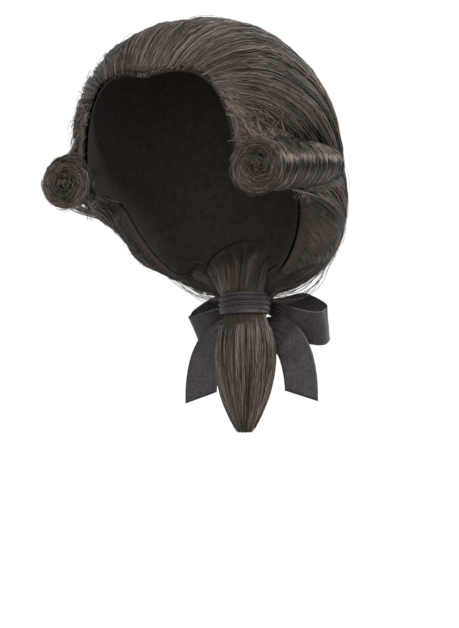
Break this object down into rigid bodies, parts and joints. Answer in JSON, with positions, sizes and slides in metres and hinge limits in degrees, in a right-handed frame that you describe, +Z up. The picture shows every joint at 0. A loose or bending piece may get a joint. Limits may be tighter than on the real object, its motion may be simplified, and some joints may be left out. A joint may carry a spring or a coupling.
{
  "type": "queue wig with side curls",
  "caption": "Gentleman's wig: brown hair dressed back over a cloth cap, a rolled curl above each ear and a queue tied at the nape with a ribbon bow.",
  "frame": {"origin": "inside top of the cap, where the wig sits on the crown of the head", "axes": "+Z up, the wearer faces -Y, +X to the wearer's left"},
  "size_m": [0.2152, 0.2229, 0.3149],
  "materials": {
    "hair": "dark brown hair with a soft gloss along the strands",
    "cap_cloth": "dark woven cap cloth, matt",
    "ribbon": "black satin ribbon"
  },
  "bodies": {
    "root": {"foundation_cap": "cap_cloth", "crown_hair": "hair", "side_curl_left": "hair", "side_curl_right": "hair", "queue": "hair", "ribbon_wrap": "ribbon", "ribbon_knot": "ribbon", "bow_loop_left": "ribbon", "bow_loop_right": "ribbon", "ribbon_tail_left": "ribbon", "ribbon_tail_right": "ribbon"}
  },
  "joints": []
}
